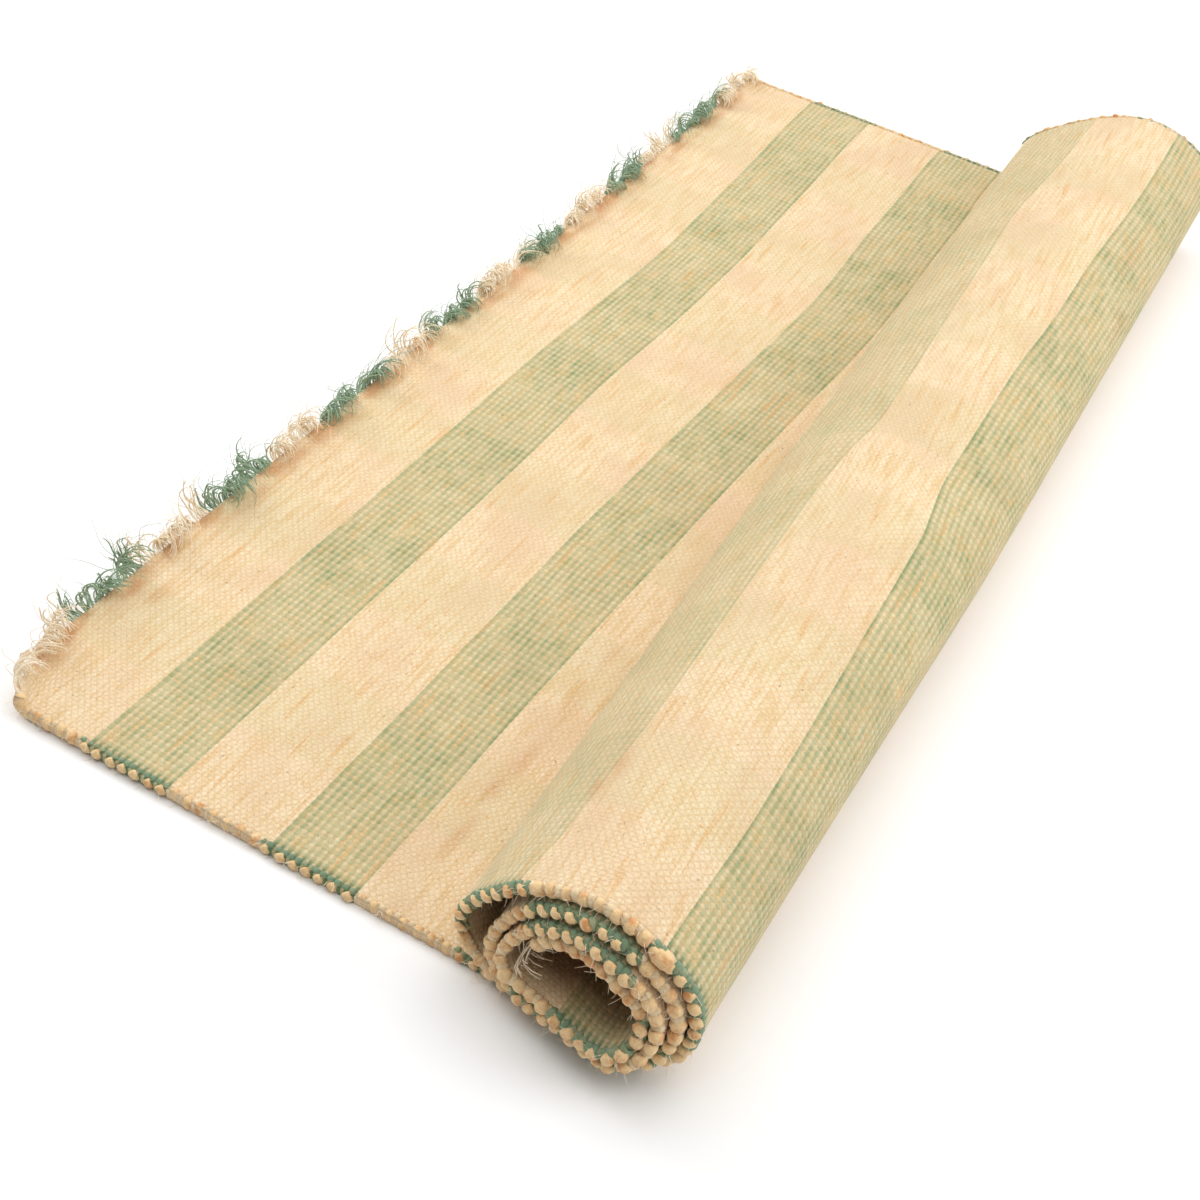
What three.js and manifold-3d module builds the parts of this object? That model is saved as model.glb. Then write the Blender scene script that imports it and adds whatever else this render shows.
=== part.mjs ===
// Jute rug, partly unrolled: a striped flat-woven cloth lies on the floor at its fringed end
// and winds into a loose, slightly flattened roll that rests on the last of the flat stretch.
// Millimetres, +Z up. The fringed edge is at -X, the roll at +X and the selvages at -Y and +Y.
// The origin is on the floor, under the middle of the flat stretch.
import * as THREE from 'three';
import { mergeVertices } from 'three/addons/utils/BufferGeometryUtils.js';
import Module from 'manifold-3d';

// Cloth as it came off the loom
const CLOTH = {
  width: 1200, // selvage to selvage, along Y
  length: 1810, // fringed edge to fringed edge, along the warp
  thickness: 7, // warp yarn between two plies of thick jute weft
};
const EDGE_X = -178; // the fringed edge that shows, at the end of the flat stretch

// Roll: its axis is skewed to the selvages, so the shift grows along the width
const ROLL = {
  skew: 0.054, // shift towards the fringe for each millimetre along Y
  turns: 4.4, // turns that the table is laid out for, of which the cloth fills about 3.5
  slipTurns: 2.2, // turns over which the slip towards the near end keeps growing
  farDrop: 4, // how much lower the roll is at the far end
  farLean: 14, // how far its top leans away from the fringe there
  leanFrom: 40, // height under which the stacked layers keep their places
  leanTo: 110,
  spread: 0.12, // how much wider it is beyond mid width than at the near end
  spreadAbout: 290,
  spreadFrom: 4, // height of the layer on the floor, which stays in place
  spreadTo: 30,
  spreadLength: 1.03, // its longer way round there
};

// Centre line of the outermost turn at the near selvage, looking along +Y, anticlockwise from
// the floor. dx and dz move a station for each turn further in, gap is added once, where the
// outer turn hangs away from the others, and out is how far each turn stands out at the near
// end, because the inner turns have slipped along the roll.
const SECTION = [
  { at: 'floor', x: 245, z: 3.5, dx: 12, dz: 8.7, gap: 0, out: 8 },
  { at: 'mid floor', x: 300, z: 3.5, dx: 2, dz: 9, gap: 0, out: 11 },
  { at: 'heel', x: 342, z: 3.5, dx: -4.5, dz: 9.2, gap: 0, out: 14 },
  { at: 'lower right', x: 370, z: 18, dx: -8.2, dz: 7, gap: 0, out: 15 },
  { at: 'right', x: 382, z: 50, dx: -8.8, dz: 0.5, gap: 0, out: 10 },
  { at: 'upper right', x: 377, z: 84, dx: -8.2, dz: -5.5, gap: 0, out: 8 },
  { at: 'shoulder', x: 352, z: 108, dx: -4, dz: -9.4, gap: 0, out: 8 },
  { at: 'top', x: 310, z: 121, dx: 0, dz: -10, gap: 0, out: 7 },
  { at: 'upper left', x: 266, z: 108, dx: 4.5, dz: -9, gap: 2, out: 5 },
  { at: 'left slope', x: 233, z: 80, dx: 9.8, dz: -5, gap: 9, out: 4 },
  { at: 'left', x: 214, z: 46, dx: 10.3, dz: 0, gap: 16, out: 5 },
  { at: 'lower left', x: 222, z: 20, dx: 11, dz: 7.6, gap: 11, out: 7 },
];
const ROLL_START_X = SECTION[0].x;

// Dent pressed into the shoulder of the roll, with everything under it
const DENT = { x: 325, y: -60, z: 118, depth: 9, alongX: 42, alongY: 85, throughZ: 60 };

// Lip: the fringed edge curls up off the floor, most at the near corner, which is drawn in
const LIP = { reach: 38, low: 2.5, high: 10, fadesTo: 250 };
const CORNER = { inset: 26, lift: 6 };
const CORNER_TURN = [
  { fromSelvage: 0, share: 1 },
  { fromSelvage: 16, share: 0.56 },
  { fromSelvage: 40, share: 0.22 },
  { fromSelvage: 78, share: 0 },
];

// Fringe: warp ends in clumps, green and natural by turns, along both ends of the cloth
const FRINGE = {
  greenCentres: [-480, -325, -168, -10, 147, 304, 461], // along Y, where green warp ends
  greenWidth: 84,
  seam: 0.35, // between the cloth and a strip, and between two strips
  innerSeam: 0.7,
  stripDepth: 4,
  stripThickness: 5,
  strandPitch: 10,
  strandRadius: 1.3,
  strandRoot: 1.5, // of each strand inside its strip
  outerLength: 36,
  innerLength: 40,
  innerPitch: 24,
};

const COLOURS = { natural: 0xe9cf9c, green: 0x8ea283, pale: 0xded2b6 };

// Grid of the cloth: across the flat stretch, around the roll and along the width
const FLAT_STEPS = [0, 10, 22, 38, 70, 130, 200, 270, 340];
const ROLL_STEP = 17;

const wasm = await Module();
wasm.setup();

// A small repeatable random number source
let seed = 41;
function random(low = 0, high = 1) {
  seed = (seed * 16807) % 2147483647;
  return low + (high - low) * (seed / 2147483647);
}

function smooth(t) {
  const u = THREE.MathUtils.clamp(t, 0, 1);
  return u * u * (3 - 2 * u);
}

// Centre line of the roll through the section table, turn after turn
function rollCurve() {
  const points = [];
  for (let i = 0; i < ROLL.turns * SECTION.length; i += 1) {
    const turn = Math.floor(i / SECTION.length);
    const row = SECTION[i % SECTION.length];
    const gap = turn > 0 ? row.gap : 0;
    const x = row.x + row.dx * turn + gap;
    const out = row.out * Math.min(turn, ROLL.slipTurns);
    points.push(new THREE.Vector3(x, -out, row.z + row.dz * turn));
  }
  const curve = new THREE.CatmullRomCurve3(points, false, 'centripetal');
  curve.arcLengthDivisions = 2000;
  return curve;
}

const ROLL_LINE = rollCurve();
const ROLL_LENGTH = ROLL_LINE.getLength();
const FLOOR_REACH = SECTION[2].x - SECTION[0].x;

// Length of the flat stretch at a place along the width
function flatLength(y) {
  return ROLL_START_X - ROLL.skew * (y + CLOTH.width / 2) - EDGE_X;
}

// 1 at the near corner of the fringed edge, 0 a hand's width away from it
function cornerShare(y) {
  const from = y + CLOTH.width / 2;
  const next = CORNER_TURN.findIndex((row) => row.fromSelvage >= from);
  if (next < 1) return next === 0 ? 1 : 0;
  const a = CORNER_TURN[next - 1];
  const b = CORNER_TURN[next];
  return a.share + ((b.share - a.share) * (from - a.fromSelvage)) / (b.fromSelvage - a.fromSelvage);
}

// Height of the curled lip above the floor at the fringed edge
function lipHeight(y) {
  const fade = 1 - smooth((y + CLOTH.width / 2) / (LIP.fadesTo + CLOTH.width / 2));
  return LIP.low + (LIP.high - LIP.low) * fade + CORNER.lift * cornerShare(y);
}

// 0 at the near end, 1 from mid width on
function wideShare(y) {
  return smooth(2 * (y / CLOTH.width + 0.5));
}

// How much of the lean and the drop a point of the centre line takes, 1 at the far end's top
function farShare(y, z) {
  return (y / CLOTH.width + 0.5) * smooth((z - ROLL.leanFrom) / (ROLL.leanTo - ROLL.leanFrom));
}

// How far the lean and the spread take a point of the centre line along X
function shiftAt(x, y, z) {
  const fromMiddle = x + ROLL.skew * (y + CLOTH.width / 2) - ROLL.spreadAbout;
  const above = smooth((z - ROLL.spreadFrom) / (ROLL.spreadTo - ROLL.spreadFrom));
  return ROLL.farLean * farShare(y, z) + ROLL.spread * wideShare(y) * above * fromMiddle;
}

// Centre line of one section: place and normal at a length s from the fringed edge
function sectionAt(s, y) {
  const flat = flatLength(y);
  if (s <= flat) {
    const lift = lipHeight(y);
    const t = Math.max(0, 1 - Math.max(s, 0) / LIP.reach);
    const slope = (-2 * lift * t) / LIP.reach;
    const beyond = Math.min(s, 0);
    const tangent = new THREE.Vector2(1, slope).normalize();
    const inset = CORNER.inset * cornerShare(y) * t * t;
    const x = EDGE_X + inset + Math.max(s, 0) + beyond * tangent.x;
    const z = CLOTH.thickness / 2 + lift * t * t + beyond * tangent.y;
    return { x, z, out: 0, nx: -tangent.y, nz: tangent.x };
  }
  const around = 1 + (ROLL.spreadLength - 1) * wideShare(y);
  const u = Math.min((s - flat) / (ROLL_LENGTH * around), 1);
  const p = ROLL_LINE.getPointAt(u);
  const d = ROLL_LINE.getTangentAt(u);
  const x = p.x - ROLL.skew * (y + CLOTH.width / 2);
  if (s - flat < FLOOR_REACH) {
    return { x, z: CLOTH.thickness / 2, out: 0, nx: 0, nz: 1 };
  }
  const across = Math.hypot(d.x, d.z);
  return { x: x + shiftAt(x, y, p.z), z: p.z, out: p.y, nx: -d.z / across, nz: d.x / across };
}

// How far the dent and the lower far end take a point down
function sinkAt(x, y, z) {
  const dentX = (x + ROLL.skew * (DENT.y + CLOTH.width / 2) - DENT.x) / DENT.alongX;
  const dentY = (y - DENT.y) / DENT.alongY;
  const dentZ = smooth(1 - (DENT.z - z) / DENT.throughZ);
  const dent = DENT.depth * Math.exp(-dentX * dentX - dentY * dentY) * dentZ;
  return dent + ROLL.farDrop * farShare(y, z);
}

// A point given in the cloth's own terms: s along the warp, y across, h above its middle
function clothPoint(s, y, h) {
  const at = sectionAt(s, y);
  const z = at.z - sinkAt(at.x, y, at.z);
  return new THREE.Vector3(at.x + at.nx * h, y + at.out, z + at.nz * h);
}

// A closed solid over a grid: a list of lengths s for each place y, between two heights
function clothSolid(lengthsAt, places, lowest, highest) {
  const rows = lengthsAt(places[0]).length;
  const columns = places.length;
  const positions = [];
  for (const h of [highest, lowest]) {
    for (const y of places) {
      for (const s of lengthsAt(y)) {
        positions.push(...clothPoint(s, y, h).toArray());
      }
    }
  }
  const top = (i, j) => j * rows + i;
  const under = (i, j) => (columns + j) * rows + i;
  const index = [];
  const quad = (a, b, c, d) => index.push(a, b, c, a, c, d);
  for (let j = 0; j < columns - 1; j += 1) {
    for (let i = 0; i < rows - 1; i += 1) {
      quad(top(i, j), top(i + 1, j), top(i + 1, j + 1), top(i, j + 1));
      quad(under(i, j), under(i, j + 1), under(i + 1, j + 1), under(i + 1, j));
    }
    quad(top(0, j), top(0, j + 1), under(0, j + 1), under(0, j));
    quad(top(rows - 1, j), under(rows - 1, j), under(rows - 1, j + 1), top(rows - 1, j + 1));
  }
  for (let i = 0; i < rows - 1; i += 1) {
    quad(top(i, 0), under(i, 0), under(i + 1, 0), top(i + 1, 0));
    const j = columns - 1;
    quad(top(i, j), top(i + 1, j), under(i + 1, j), under(i, j));
  }
  const geometry = new THREE.BufferGeometry();
  geometry.setAttribute('position', new THREE.Float32BufferAttribute(positions, 3));
  geometry.setIndex(index);
  return geometry;
}

function evenly(low, high, steps) {
  return Array.from({ length: steps + 1 }, (_, i) => low + ((high - low) * i) / steps);
}

// Places of the clumps along the width, natural ones filling in between the green ones
function clumps() {
  const found = [];
  let from = -CLOTH.width / 2;
  FRINGE.greenCentres.forEach((centre, i) => {
    const low = centre - FRINGE.greenWidth / 2;
    const high = centre + FRINGE.greenWidth / 2;
    found.push({ name: `fringe_natural_${i + 1}`, colour: COLOURS.pale, low: from, high: low });
    found.push({ name: `fringe_green_${i + 1}`, colour: COLOURS.green, low, high });
    from = high;
  });
  const last = `fringe_natural_${FRINGE.greenCentres.length + 1}`;
  found.push({ name: last, colour: COLOURS.pale, low: from, high: CLOTH.width / 2 });
  return found;
}

// Grid lines across the width: the near corner's turn, then the end of each clump
const CORNER_LINES = CORNER_TURN.map((row) => row.fromSelvage - CLOTH.width / 2);
const CLUMP_LINES = clumps().map((clump) => clump.high);
const WIDTH_LINES = [...new Set([...CORNER_LINES, ...CLUMP_LINES])];

// Cloth: one sheet, flat at the fringe and wound at the other end
function rugCloth() {
  const nearFlat = flatLength(-CLOTH.width / 2);
  const aroundSteps = Math.round((CLOTH.length - nearFlat) / ROLL_STEP);
  const lengthsAt = (y) => {
    const flat = flatLength(y);
    const lying = FLAT_STEPS.map((s) => (s <= LIP.reach ? s : (s * flat) / nearFlat));
    return [...lying, ...evenly(flat, CLOTH.length, aroundSteps)];
  };
  return clothSolid(lengthsAt, WIDTH_LINES, -CLOTH.thickness / 2, CLOTH.thickness / 2);
}

function toSolid(geometry) {
  const bare = geometry.clone();
  bare.deleteAttribute('normal');
  bare.deleteAttribute('uv');
  const merged = mergeVertices(bare, 1e-4);
  return new wasm.Manifold(
    new wasm.Mesh({
      numProp: 3,
      vertProperties: new Float32Array(merged.attributes.position.array),
      triVerts: new Uint32Array(merged.index.array),
    }),
  );
}

function toGeometry(solid) {
  const mesh = solid.getMesh();
  const geometry = new THREE.BufferGeometry();
  geometry.setAttribute('position', new THREE.BufferAttribute(mesh.vertProperties, 3));
  geometry.setIndex(new THREE.BufferAttribute(mesh.triVerts, 1));
  return geometry;
}

// One strand: a three-sided yarn end along a path, thinner at its tip
function strand(path) {
  const sides = 3;
  const positions = [];
  path.forEach((point, k) => {
    const before = path[Math.max(k - 1, 0)];
    const after = path[Math.min(k + 1, path.length - 1)];
    const along = after.clone().sub(before).normalize();
    const aside = new THREE.Vector3(0, 1, 0).addScaledVector(along, -along.y).normalize();
    const across = along.clone().cross(aside);
    const radius = FRINGE.strandRadius * (1 - (0.45 * k) / (path.length - 1));
    for (let i = 0; i < sides; i += 1) {
      const angle = (2 * Math.PI * i) / sides;
      const spoke = aside.clone().multiplyScalar(Math.cos(angle) * radius);
      spoke.addScaledVector(across, Math.sin(angle) * radius);
      positions.push(...point.clone().add(spoke).toArray());
    }
  });
  const index = [0, 2, 1];
  for (let k = 0; k < path.length - 1; k += 1) {
    for (let i = 0; i < sides; i += 1) {
      const a = k * sides + i;
      const b = k * sides + ((i + 1) % sides);
      index.push(a, b, b + sides, a, b + sides, a + sides);
    }
  }
  const last = (path.length - 1) * sides;
  index.push(last, last + 1, last + 2);
  const geometry = new THREE.BufferGeometry();
  geometry.setAttribute('position', new THREE.Float32BufferAttribute(positions, 3));
  geometry.setIndex(index);
  return geometry;
}

// Outer strands leave the lip, rise and curl back over it
function outerPath(y) {
  const length = FRINGE.outerLength * random(0.65, 1.1);
  const segments = 3;
  const step = length / segments;
  const lean = random(-0.18, 0.18);
  const curl = random(0.4, 0.9);
  let rise = random(0.1, 0.9);
  const edge = clothPoint(-FRINGE.seam - FRINGE.stripDepth + FRINGE.strandRoot, y, 0);
  const path = [edge];
  for (let k = 0; k < segments; k += 1) {
    const last = path[path.length - 1];
    const next = last.clone();
    next.x -= Math.cos(rise) * step;
    next.y += lean * step * k * 0.3;
    next.z = Math.max(last.z + Math.sin(rise) * step, FRINGE.strandRadius * 1.2);
    path.push(next);
    rise += curl;
  }
  return path;
}

// Inner strands go on around the hollow, drooping off the turn that carries them
function innerPath(y) {
  const length = FRINGE.innerLength * random(0.7, 1.1);
  const segments = 2;
  const sag = random(5, 13);
  const start = CLOTH.length + FRINGE.innerSeam + FRINGE.stripDepth - FRINGE.strandRoot;
  const path = [];
  for (let k = 0; k <= segments; k += 1) {
    const t = k / segments;
    path.push(clothPoint(start + length * t, y, sag * t * t));
  }
  return path;
}

// A backing strip along the cloth's end, with its strands fused in
function fringeStrip(fromS, toS, low, high, pitch, pathAt) {
  const half = FRINGE.stripThickness / 2;
  const between = WIDTH_LINES.filter((y) => y > low + 1 && y < high - 1);
  const strip = clothSolid(() => [fromS, toS], [low, ...between, high], -half, half);
  const count = Math.floor((high - low) / pitch);
  const spare = (high - low - pitch * (count - 1)) / 2;
  let solid = toSolid(strip);
  for (let i = 0; i < count; i += 1) {
    solid = solid.add(toSolid(strand(pathAt(low + spare + pitch * i))));
  }
  return toGeometry(solid);
}

function yarnMaterial(colour) {
  return new THREE.MeshStandardMaterial({ color: colour, roughness: 0.92, metalness: 0 });
}

function named(name, geometry, colour) {
  const mesh = new THREE.Mesh(geometry, yarnMaterial(colour));
  mesh.name = name;
  return mesh;
}

const rug = new THREE.Group();
rug.name = 'jute_rug';
rug.add(named('rug_cloth', rugCloth(), COLOURS.natural));

const outerFrom = -FRINGE.seam - FRINGE.stripDepth;
for (const clump of clumps()) {
  const low = clump.low + FRINGE.seam / 2;
  const high = clump.high - FRINGE.seam / 2;
  const pitch = FRINGE.strandPitch;
  const geometry = fringeStrip(outerFrom, -FRINGE.seam, low, high, pitch, outerPath);
  rug.add(named(clump.name, geometry, clump.colour));
}

const innerFrom = CLOTH.length + FRINGE.innerSeam;
const innerTo = innerFrom + FRINGE.stripDepth;
const reach = CLOTH.width / 2;
const inner = fringeStrip(innerFrom, innerTo, -reach, reach, FRINGE.innerPitch, innerPath);
rug.add(named('fringe_inner', inner, COLOURS.pale));

export default rug;
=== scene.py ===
# %% [markdown]
# # A half-rolled jute rug
# The real thing is one flat-woven cloth, 1.2 m wide and 1.8 m long. It lies on the floor at its
# fringed end and is wound into a loose roll at the other. Stripes of sage green and natural jute
# cross it from selvage to selvage. The cloth is built first, then the yarn turns along its two
# selvages, then the fringes, and each piece follows the same winding, so nothing floats.

# %% Tools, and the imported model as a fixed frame
import bpy
import bmesh
import math
import random
import numpy as np
from mathutils import Matrix, Vector


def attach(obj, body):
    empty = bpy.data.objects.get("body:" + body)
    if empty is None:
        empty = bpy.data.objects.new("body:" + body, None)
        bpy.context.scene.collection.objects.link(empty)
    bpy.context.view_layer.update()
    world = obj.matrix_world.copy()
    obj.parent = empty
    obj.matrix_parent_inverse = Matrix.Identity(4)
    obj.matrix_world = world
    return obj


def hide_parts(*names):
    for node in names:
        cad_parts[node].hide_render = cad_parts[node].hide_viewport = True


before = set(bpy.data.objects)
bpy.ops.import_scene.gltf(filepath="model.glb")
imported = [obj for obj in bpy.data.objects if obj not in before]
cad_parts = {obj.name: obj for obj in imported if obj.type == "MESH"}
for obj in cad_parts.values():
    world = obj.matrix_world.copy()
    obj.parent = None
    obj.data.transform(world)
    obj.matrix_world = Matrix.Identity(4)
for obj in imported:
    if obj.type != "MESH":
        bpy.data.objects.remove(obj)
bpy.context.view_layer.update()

# %% [markdown]
# ## Camera
# The picture is taken from above the near right corner, with a lens a little longer than normal
# and the horizon turned by nine degrees. A camera looks along its own -Z, so its three axes are
# worked out from the heading, the dip and the roll, and set as the columns of one matrix.

# %% Camera
HEADING = math.radians(114.13)
DIP = math.radians(42.0)
TURN = math.radians(9.0)
EYE = Vector((0.5950, -1.3131, 1.0572))
SENSOR_MM = 36.0
LENS_MM = 60.32

ahead = Vector((math.cos(HEADING) * math.cos(DIP), math.sin(HEADING) * math.cos(DIP), -math.sin(DIP)))
level_right = Vector((math.sin(HEADING), -math.cos(HEADING), 0.0))
level_up = level_right.cross(ahead)
eye_right = math.cos(TURN) * level_right + math.sin(TURN) * level_up
eye_up = -math.sin(TURN) * level_right + math.cos(TURN) * level_up

camera = bpy.data.objects.new("camera", bpy.data.cameras.new("camera"))
bpy.context.collection.objects.link(camera)
camera.data.sensor_width = SENSOR_MM
camera.data.lens = LENS_MM
camera.matrix_world = Matrix.Translation(EYE) @ Matrix((eye_right, eye_up, -ahead)).transposed().to_4x4()
bpy.context.scene.camera = camera
print("camera looks along", tuple(round(v, 3) for v in ahead))

# %% [markdown]
# ## Floor and light
# A pale floor and one very large soft light from above give the bright, nearly shadowless look
# of a studio. A smaller panel stands at either side, so that neither slope of the roll goes grey.

# %% Floor and light
def simple_material(name, colour, roughness):
    material = bpy.data.materials.new(name)
    material.use_nodes = True
    shader = material.node_tree.nodes["Principled BSDF"]
    shader.inputs["Base Color"].default_value = (*colour, 1.0)
    shader.inputs["Roughness"].default_value = roughness
    return material


def mesh_object(name, bm):
    mesh = bpy.data.meshes.new(name)
    bm.to_mesh(mesh)
    bm.free()
    made = bpy.data.objects.new(name, mesh)
    bpy.context.collection.objects.link(made)
    return made


bm = bmesh.new()
bmesh.ops.create_grid(bm, x_segments=2, y_segments=2, size=6.0)
floor = mesh_object("floor", bm)
floor.data.materials.append(simple_material("pale floor", (0.97, 0.97, 0.97), 0.9))


def soft_light(name, place, target, size, power):
    light = bpy.data.objects.new(name, bpy.data.lights.new(name, "AREA"))
    light.data.size = size
    light.data.energy = power
    light.location = place
    light.rotation_euler = (Vector(target) - Vector(place)).to_track_quat("-Z", "Y").to_euler()
    bpy.context.collection.objects.link(light)


soft_light("sky panel", (-0.2, 0.3, 2.6), (0.0, 0.0, 0.0), 4.2, 93.0)
soft_light("right panel", (2.3, 0.5, 1.3), (0.3, 0.0, 0.05), 1.6, 30.0)
soft_light("left panel", (-2.3, 0.2, 1.2), (0.1, 0.0, 0.05), 1.2, 26.0)
world = bpy.data.worlds.new("studio")
world.use_nodes = True
background = world.node_tree.nodes["Background"]
background.inputs["Color"].default_value = (1.0, 1.0, 1.0, 1.0)
background.inputs["Strength"].default_value = 0.22
bpy.context.scene.world = world
bpy.context.scene.view_settings.view_transform = "Standard"
print("lights", len(bpy.data.lights))

# %% [markdown]
# ## The winding
# Every piece needs the same answer: where is the point that lies s metres from the fringed end,
# y across, and h above the middle of the cloth? The flat stretch is easy. For the roll, one
# turn is described by twelve stations, and each further turn moves a station by its own step.
# A smooth curve through them is the middle of the cloth, seen from the near end.

# %% Sizes of the cloth and its roll
WIDTH = 1.2
LENGTH = 1.81
THICK = 0.007
EDGE_X = -0.178
SKEW = 0.054
NEAR = -WIDTH / 2
LIP_LONG = 0.038  # how far in from the fringed end the curled lip reaches
CORNER_BACK = 0.026  # how far the near corner of that end is drawn back
ROLL_X = 0.290  # middle of the roll, from which it widens towards the far end
DENT_X = 0.325  # middle of the dent in the roll's shoulder
DENT_Y = -0.060
DENT_S = 0.665
DENT_DEEP = 0.009

# x, z of a station of the outer turn, its step for each turn in, the gap under the outer turn,
# and how far each turn has slipped out of the near end, all in millimetres
STATIONS = [
    (245, 3.5, 12, 8.7, 0, 8),  # floor
    (300, 3.5, 2, 9, 0, 11),  # mid floor
    (342, 3.5, -4.5, 9.2, 0, 14),  # heel
    (370, 18, -8.2, 7, 0, 15),  # lower right
    (382, 50, -8.8, 0.5, 0, 10),  # right
    (377, 84, -8.2, -5.5, 0, 8),  # upper right
    (352, 108, -4, -9.4, 0, 8),  # shoulder
    (310, 121, 0, -10, 0, 7),  # top
    (266, 108, 4.5, -9, 2, 5),  # upper left
    (233, 80, 9.8, -5, 9, 4),  # left slope
    (214, 46, 10.3, 0, 16, 5),  # left
    (222, 20, 11, 7.6, 11, 7),  # lower left
]
TURNS = 4.4
SLIP_TURNS = 2.2
POINTS_PER_STATION = 48
HALF_STEP = 0.0008


def winding_line():
    """The smooth curve through the stations, and the length of cloth up to each of its points"""
    stops = []
    for i in range(math.ceil(TURNS * len(STATIONS))):
        turn = i // len(STATIONS)
        x, z, dx, dz, gap, out = STATIONS[i % len(STATIONS)]
        x += dx * turn + (gap if turn else 0)
        stops.append((x, -out * min(turn, SLIP_TURNS), z + dz * turn))
    stops = np.array(stops) / 1000
    stops = np.vstack([2 * stops[0] - stops[1], stops, 2 * stops[-1] - stops[-2]])
    line = []
    for i in range(1, len(stops) - 2):
        p0, p1, p2, p3 = stops[i - 1:i + 3]
        d0, d1, d2 = (np.sqrt(np.linalg.norm(b - a)) for a, b in ((p0, p1), (p1, p2), (p2, p3)))
        t1 = ((p1 - p0) / d0 - (p2 - p0) / (d0 + d1) + (p2 - p1) / d1) * d1
        t2 = ((p2 - p1) / d1 - (p3 - p1) / (d1 + d2) + (p3 - p2) / d2) * d1
        cubic = 2 * p1 - 2 * p2 + t1 + t2
        square = 3 * p2 - 3 * p1 - 2 * t1 - t2
        for t in np.linspace(0, 1, POINTS_PER_STATION, endpoint=False):
            line.append(cubic * t**3 + square * t * t + t1 * t + p1)
    line.append(stops[-2])
    line = np.array(line)
    steps = np.linalg.norm(np.diff(line, axis=0), axis=1)
    return line, np.concatenate([[0], np.cumsum(steps)])


LINE, ALONG = winding_line()
print("winding line", round(float(ALONG[-1]), 3), "m long")


# %% Where a point of the cloth lies
def smooth(t):
    """0 below 0 and 1 above 1, with a soft step between them"""
    u = np.clip(t, 0, 1)
    return u * u * (3 - 2 * u)


def flat_length(y):
    """Metres of cloth that lie flat before the roll starts"""
    return STATIONS[0][0] / 1000 - SKEW * (y - NEAR) - EDGE_X


def corner_share(y):
    """1 at the near corner of the fringed end, which is drawn back and lifted"""
    return np.interp(y - NEAR, [0, 0.016, 0.040, 0.078], [1, 0.56, 0.22, 0])


def lip_height(y):
    """How high the lip curls at the fringed end, least at the far selvage"""
    return 0.0025 + 0.0075 * (1 - smooth((y - NEAR) / 0.85)) + 0.006 * corner_share(y)


def far_share(y, z):
    """0 at the near end and on the floor, 1 on top of the far end of the roll"""
    return (y / WIDTH + 0.5) * smooth((z - 0.040) / 0.070)


def on_line(u, column):
    return np.interp(u, ALONG, LINE[:, column])


def cloth_point(s, y, h=0.0):
    """The place that lies s along the warp, y across and h above the middle of the cloth"""
    s, y, h = np.broadcast_arrays(np.asarray(s, float), np.asarray(y, float), np.asarray(h, float))
    flat = flat_length(y)

    # the lying stretch, with its curled lip
    lift = lip_height(y)
    t = np.maximum(0, 1 - np.maximum(s, 0) / LIP_LONG)
    slope = -2 * lift * t / LIP_LONG
    long = np.hypot(1, slope)
    past = np.minimum(s, 0)
    lying_x = EDGE_X + CORNER_BACK * corner_share(y) * t * t + np.maximum(s, 0) + past / long
    lying_z = THICK / 2 + lift * t * t + past * slope / long

    # the roll, which is wider at the far end
    wide = smooth(2 * (y / WIDTH + 0.5))
    u = np.clip((s - flat) / (1 + 0.03 * wide), 0, ALONG[-1])
    x, out, z = (on_line(u, column) for column in range(3))
    dx = on_line(u + HALF_STEP, 0) - on_line(u - HALF_STEP, 0)
    dz = on_line(u + HALF_STEP, 2) - on_line(u - HALF_STEP, 2)
    across = np.hypot(dx, dz) + 1e-12
    widening = 0.12 * wide * smooth((z - 0.004) / 0.026) * (x - ROLL_X)
    x = x - SKEW * (y - NEAR) + 0.014 * far_share(y, z) + widening

    # which of the two holds here, and the way out of the cloth's upper face
    on_floor = s - flat < (STATIONS[2][0] - STATIONS[0][0]) / 1000
    z = np.where(on_floor, THICK / 2, z)
    lying = s <= flat
    x = np.where(lying, lying_x, x)
    z = np.where(lying, lying_z, z)
    out = np.where(lying | on_floor, 0, out)
    nx = np.where(lying, -slope / long, np.where(on_floor, 0, -dz / across))
    nz = np.where(lying, 1 / long, np.where(on_floor, 1, dx / across))

    # the dent in the shoulder, and the lower far end
    dent_x = (x + SKEW * (DENT_Y - NEAR) - DENT_X) / 0.042
    dent_y = (y - DENT_Y) / 0.085
    dent = DENT_DEEP * np.exp(-dent_x**2 - dent_y**2) * smooth(1 - (0.118 - z) / 0.060)
    z = z - dent - 0.004 * far_share(y, z)
    return np.stack([x + nx * h, y + out, z + nz * h], -1)


print("near corner of the fringed end", cloth_point(0.0, NEAR).round(4))

# %% [markdown]
# ## Building blocks for materials
# Shader nodes are easier to read when a small helper makes a node, sets its values and joins its
# inputs in one call. An input may be a number, a colour or the output of another node.

# %% Node helpers
def feed(tree, sockets, values):
    """Join or set each socket by its name or number"""
    for key, value in dict(values).items():
        if isinstance(value, bpy.types.NodeSocket):
            tree.links.new(value, sockets[key])
        else:
            sockets[key].default_value = value


def add(tree, kind, inputs=(), **settings):
    made = tree.nodes.new(kind)
    for name, value in settings.items():
        setattr(made, name, value)
    feed(tree, made.inputs, inputs)
    return made


def calc(tree, operation, *values, clamp=False):
    numbers = dict(enumerate(values))
    return add(tree, "ShaderNodeMath", numbers, operation=operation, use_clamp=clamp).outputs[0]


def opposite(tree, share):
    return calc(tree, "SUBTRACT", 1.0, share)


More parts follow.
